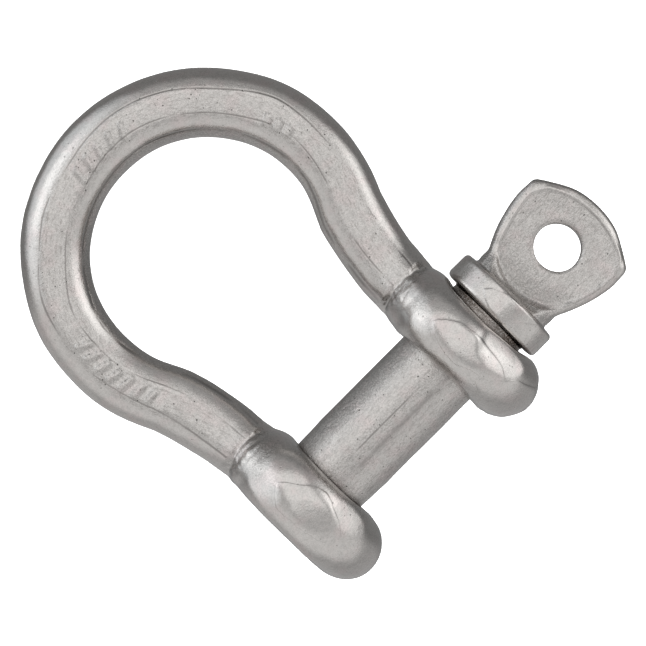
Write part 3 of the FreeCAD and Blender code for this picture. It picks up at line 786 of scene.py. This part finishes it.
def small_pits(nodes, place, matt):
    """Small round casting pits of several sizes, deeper where the steel is matt."""
    cells = nodes.add("ShaderNodeTexVoronoi")
    nodes.feed(cells.inputs["Vector"], place)
    cells.inputs["Scale"].default_value = 2.0
    chance = nodes.add("ShaderNodeSeparateColor")
    nodes.feed(chance.inputs[0], cells.outputs["Color"])
    size = nodes.times_plus(chance.outputs["Green"], 0.15, 0.05)
    pit = nodes.ramp(nodes.math("DIVIDE", cells.outputs["Distance"], size), 1.0, 0.5)
    pit = nodes.times(pit, nodes.ramp(chance.outputs["Red"], 0.45, 0.47))
    return nodes.times(pit, nodes.times_plus(matt, 0.6, 0.4))


def streaks(nodes):
    """Short dark scuffs that run along the part."""
    drawn = nodes.add("ShaderNodeCombineXYZ")
    nodes.feed(drawn.inputs["X"], nodes.times(nodes.attribute("along"), 0.25))
    nodes.feed(drawn.inputs["Y"], nodes.attribute("across"))
    scuffs = nodes.noise(drawn.outputs[0], scale=4.5, detail=4.0, roughness=0.75)
    return nodes.ramp(scuffs, 0.5, 0.64)


class SteelLayers:
    """The patterns that the steel's colour, gloss and relief are made of."""

    def __init__(self, nodes, seams):
        place = place_in_mm(nodes)
        self.patches = nodes.noise(place, scale=0.3, detail=3.0, roughness=0.55)
        self.mottle = nodes.noise(place, scale=2.2, detail=6.0, roughness=0.72)
        self.grain = nodes.noise(place, scale=7.0, detail=3.0, roughness=0.65)
        self.speck = nodes.noise(place, scale=7.5, detail=4.0, roughness=0.75)
        self.warm = nodes.ramp(nodes.noise(place, scale=0.55, detail=2.0), 0.45, 0.7)
        # Painted shade, with a little of the steel's own darker tone, as each part's mask gives
        # it.
        self.painted_shade_and_tone = nodes.attribute("painted_shade_and_tone")
        self.matt = nodes.attribute("matt")
        self.stain_and_gap_shade = nodes.attribute("stain_and_gap_shade")
        self.lap = nodes.attribute("lap")
        self.pit = small_pits(nodes, place, self.matt)
        self.line = seams(nodes, place)
        self.streak = streaks(nodes)
        edge = nodes.ramp(nodes.math("ABSOLUTE", self.lap), 0.13, 0.0)
        self.edge = nodes.times(edge, nodes.ramp(self.patches, 0.38, 0.55))


def steel_colour(nodes, steel):
    """Pale and greyer patches, then each tint laid over the last by its share."""
    dark_mottle = nodes.ramp(steel.mottle, 0.6, 0.3)
    dots = nodes.ramp(steel.speck, 0.56, 0.38)
    dots_share = nodes.times_plus(steel.matt, 0.22, 0.26)
    streak_share = nodes.times(steel.matt, 0.55)
    # Painted shade, broken up by specks: darkens the creases, hollows and gaps and the faces
    # turned from the light, with a little of the steel's own darker tone.
    dark_shade_and_tone = nodes.times(steel.painted_shade_and_tone, nodes.ramp(steel.speck, 0.64, 0.4))
    # Brown stain, deepened as painted shade in the gap between ear and collar.
    brown = nodes.times(steel.stain_and_gap_shade, nodes.ramp(steel.grain, 0.2, 0.58))
    tints = (
        (steel.warm, 0.65, (0.68, 0.605, 0.59, 1)),
        (dark_mottle, 0.3, (0.36, 0.35, 0.34, 1)),
        (steel.line, 0.7, (0.2, 0.185, 0.175, 1)),
        (dots, dots_share, (0.33, 0.315, 0.3, 1)),
        (steel.edge, 0.22, (0.25, 0.235, 0.225, 1)),
        (steel.streak, streak_share, (0.33, 0.31, 0.295, 1)),
        (dark_shade_and_tone, 0.7, (0.28, 0.27, 0.26, 1)),
        (brown, 0.9, (0.12, 0.095, 0.08, 1)),
        (steel.pit, 0.8, (0.1, 0.095, 0.09, 1)),
    )
    grey_patch, pale_patch = (0.61, 0.587, 0.565, 1), (0.73, 0.703, 0.678, 1)
    colour = nodes.mix_colour(steel.patches, grey_patch, pale_patch)
    for where, share, tint in tints:
        colour = nodes.mix_colour(nodes.times(where, share), colour, tint)
    return colour


def steel_roughness(nodes, steel):
    """Smooth where the steel was tumbled bright, rougher where it is matt or where the painted
    shade and tone mask lies.
    """
    roughness = nodes.times_plus(steel.mottle, 0.1, 0.07)
    roughness = nodes.times_plus(steel.matt, 0.1, roughness)
    roughness = nodes.times_plus(steel.painted_shade_and_tone, 0.1, roughness)
    return nodes.times_plus(steel.pit, 0.25, roughness)


def steel_relief(nodes, steel):
    """The height of the fine relief, in millimetres."""
    coarse = nodes.times_plus(steel.matt, 0.75, 0.4)
    height = nodes.times(steel.grain, 0.026)
    height = nodes.times_plus(steel.mottle, 0.035, height)
    height = nodes.times(height, coarse)
    height = nodes.times_plus(nodes.ramp(steel.lap, -0.06, 0.06), 0.009, height)
    height = nodes.times_plus(nodes.times(steel.painted_shade_and_tone, steel.mottle), 0.06, height)
    height = nodes.times_plus(steel.pit, -0.035, height)
    return nodes.times_plus(steel.line, -0.03, height)


def cast_steel(name, seams):
    """Cast stainless steel, tumbled to a satin: mottled greys with a little warmth, a
    fine grain, scattered small pits, darker stained places, and painted shade in the
    creases, hollows and gaps and on the faces turned from the light."""
    material = bpy.data.materials.new(name)
    material.use_nodes = True
    shader = material.node_tree.nodes["Principled BSDF"]
    nodes = Nodes(material.node_tree)
    steel = SteelLayers(nodes, seams)
    nodes.feed(shader.inputs["Base Color"], steel_colour(nodes, steel))
    nodes.feed(shader.inputs["Roughness"], steel_roughness(nodes, steel))
    shader.inputs["Metallic"].default_value = 1
    bump = nodes.add("ShaderNodeBump")
    bump.inputs["Strength"].default_value = 1
    bump.inputs["Distance"].default_value = MM
    nodes.feed(bump.inputs["Height"], steel_relief(nodes, steel))
    nodes.feed(shader.inputs["Normal"], bump.outputs["Normal"])
    return material


# The floor and the wall it sweeps up into, in metres: how far off the wall stands, the
# radius of the bend at its foot, and its height.
SWEEP_REACH = 1.6
SWEEP_BEND = 0.5
SWEEP_HEIGHT = 1.2
# How many flat sides it has all round.
SWEEP_SIDES = 24


def sweep_profile():
    """The sweep's section outwards from the edge of the flat floor: (radius, height)."""
    flat = SWEEP_REACH - SWEEP_BEND
    profile = [(flat, 0.0)]
    steps = 8
    for step in range(1, steps + 1):
        turn = step / steps * math.pi / 2
        rise = SWEEP_BEND - SWEEP_BEND * math.cos(turn)
        profile.append((flat + SWEEP_BEND * math.sin(turn), rise))
    profile.append((SWEEP_REACH, SWEEP_HEIGHT))
    return profile


def sweep_mesh():
    profile = sweep_profile()
    floor = float(cad_box[0].z)
    points, faces = [(0, 0, floor)], []
    for radius, rise in profile:
        for side in range(SWEEP_SIDES):
            turn = side / SWEEP_SIDES * 2 * math.pi
            points.append((radius * math.cos(turn), radius * math.sin(turn), floor + rise))
    for side in range(SWEEP_SIDES):
        following = (side + 1) % SWEEP_SIDES
        faces.append((0, 1 + side, 1 + following))
        for level in range(len(profile) - 1):
            low, high = 1 + level * SWEEP_SIDES, 1 + (level + 1) * SWEEP_SIDES
            faces.append((low + side, high + side, high + following, low + following))
    mesh = bpy.data.meshes.new("sweep")
    mesh.from_pydata(points, [], faces)
    mesh.update()
    mesh.polygons.foreach_set("use_smooth", [True] * len(mesh.polygons))
    return mesh


def white_paper():
    paper = bpy.data.materials.new("white_paper")
    paper.use_nodes = True
    shader = paper.node_tree.nodes["Principled BSDF"]
    shader.inputs["Base Color"].default_value = (0.9, 0.9, 0.9, 1)
    shader.inputs["Roughness"].default_value = 0.9
    shader.inputs["Emission Color"].default_value = (1, 1, 1, 1)
    shader.inputs["Emission Strength"].default_value = 1.0
    return paper


def make_stage():
    """A pale floor that sweeps up into a wall far behind the part. It isn't seen in
    the steel, which reflects the studio round it."""
    sweep = bpy.data.objects.new("sweep", sweep_mesh())
    sweep.data.materials.append(white_paper())
    sweep.visible_glossy = False
    bpy.context.scene.collection.objects.link(sweep)


def flat_direction(x, y, z):
    """A direction given in the shackle's own frame, in the row frame."""
    return Vector(to_row(np.array([[x, y, z]]) / MM)[0]).normalized()


def screen_axes():
    """The main view's right, up and towards-the-viewer directions."""
    right = flat_direction(1, -1, 0)
    up = flat_direction(1, 1, 0)
    return right, up, right.cross(up)


# The lights: name, where each is seen from the part (right, up and back in the main
# view), distance, width and height in metres, and power in watts.
SOFT_BOXES = (
    ("over", (-0.05, 0.38, 1.0), 0.7, 1.0, 0.9, 1.3),
    ("key", (-0.93, 0.37, 0.3), 0.6, 0.3, 0.3, 0.12),
    ("rim", (0.88, 0.38, 0.36), 0.6, 0.28, 0.28, 0.1),
)


def soft_box(name, seen_at, distance, width, height, power):
    """A soft light that faces the part."""
    aim = (cad_box[0] + cad_box[1]) / 2
    right, up, back = screen_axes()
    toward = (right * seen_at[0] + up * seen_at[1] + back * seen_at[2]).normalized()
    light = bpy.data.lights.new(name, "AREA")
    light.shape = "RECTANGLE"
    light.size, light.size_y = width, height
    light.energy = power
    lamp = bpy.data.objects.new(name, light)
    lamp.location = aim + toward * distance
    lamp.rotation_mode = "QUATERNION"
    lamp.rotation_quaternion = (-toward).to_track_quat("-Z", "Y")
    bpy.context.scene.collection.objects.link(lamp)


def grey(level):
    return (level, level, level, 1)


# Broad brighter places in the sky: degrees round the main view from its right, rise
# towards the viewer, reach in degrees, glow and tint.
SKY_LOBES = (
    (155, 0.1, 44, 0.6, (0.94, 1.0, 1.05)),
    (22, 0.3, 32, 0.58, (1.0, 1.0, 1.0)),
)


def facing(nodes, way, axis):
    """How far each direction of the sky points along an axis."""
    dot = nodes.add("ShaderNodeVectorMath", operation="DOT_PRODUCT")
    nodes.feed(dot.inputs[0], way)
    dot.inputs[1].default_value = axis
    return dot.outputs["Value"]


def studio_sky(world):
    """The studio round the part, as the steel reflects it: pale above the skyline, and
    below it mid grey on the near side and dark on the far side."""
    world.use_nodes = True
    tree = world.node_tree
    nodes = Nodes(tree)
    way = nodes.add("ShaderNodeTexCoord").outputs["Generated"]
    right, up, back = screen_axes()
    height, far, aside = (facing(nodes, way, axis) for axis in (back, up, right))
    skyline = nodes.times_plus(nodes.ramp(far, 0.2, 0.7), 0.3, -0.4)
    above = nodes.ramp(height, skyline, nodes.math("ADD", skyline, 0.48))
    low_near = nodes.mix_colour(nodes.ramp(aside, -0.6, 0.2), grey(0.5), grey(0.42))
    low = nodes.mix_colour(nodes.ramp(far, -0.35, 0.0), low_near, grey(0.23))
    side = nodes.mix_colour(nodes.ramp(far, -0.5, 0.4), grey(0.76), grey(0.5))
    high = nodes.mix_colour(nodes.ramp(height, 0.4, 1.0), side, grey(0.56))
    sky = nodes.mix_colour(above, low, high)
    for azimuth, rise, reach, glow, tint in SKY_LOBES:
        turn = math.radians(azimuth)
        toward = (right * math.cos(turn) + up * math.sin(turn) + back * rise).normalized()
        full, none = math.cos(math.radians(reach / 2)), math.cos(math.radians(reach))
        spot = nodes.ramp(facing(nodes, way, toward), none, full)
        colour = tuple(glow * part for part in tint) + (1,)
        sky = nodes.mix_colour(spot, sky, colour, "ADD")
    background = tree.nodes["Background"]
    nodes.feed(background.inputs["Color"], sky)
    background.inputs["Strength"].default_value = 1


def make_lights():
    for box in SOFT_BOXES:
        soft_box(*box)
    world = bpy.data.worlds.new("studio")
    studio_sky(world)
    bpy.context.scene.world = world


# What the main view looks at, in the shackle's own millimetres, then how far away that is
# and the width the view takes in there, in metres.
VIEW_MIDDLE = (2.66, 10.34, 0.0)
VIEW_DISTANCE = 0.6
VIEW_WIDTH = 58.54 * MM


def make_camera():
    right, up, back = screen_axes()
    aim = Vector(to_row(np.array([VIEW_MIDDLE]))[0])
    camera = bpy.data.cameras.new("camera")
    camera.sensor_width = 36
    camera.lens = camera.sensor_width * VIEW_DISTANCE / VIEW_WIDTH
    camera.clip_start, camera.clip_end = 0.05, 10
    eye = bpy.data.objects.new("camera", camera)
    eye.location = aim + back * VIEW_DISTANCE
    eye.rotation_mode = "QUATERNION"
    turn = Matrix((right, up, back)).transposed()
    eye.rotation_quaternion = turn.to_quaternion()
    bpy.context.scene.collection.objects.link(eye)
    bpy.context.scene.camera = eye


make_bow()
make_pin()
make_stage()
make_lights()
make_camera()
bpy.context.scene.view_settings.view_transform = "Standard"
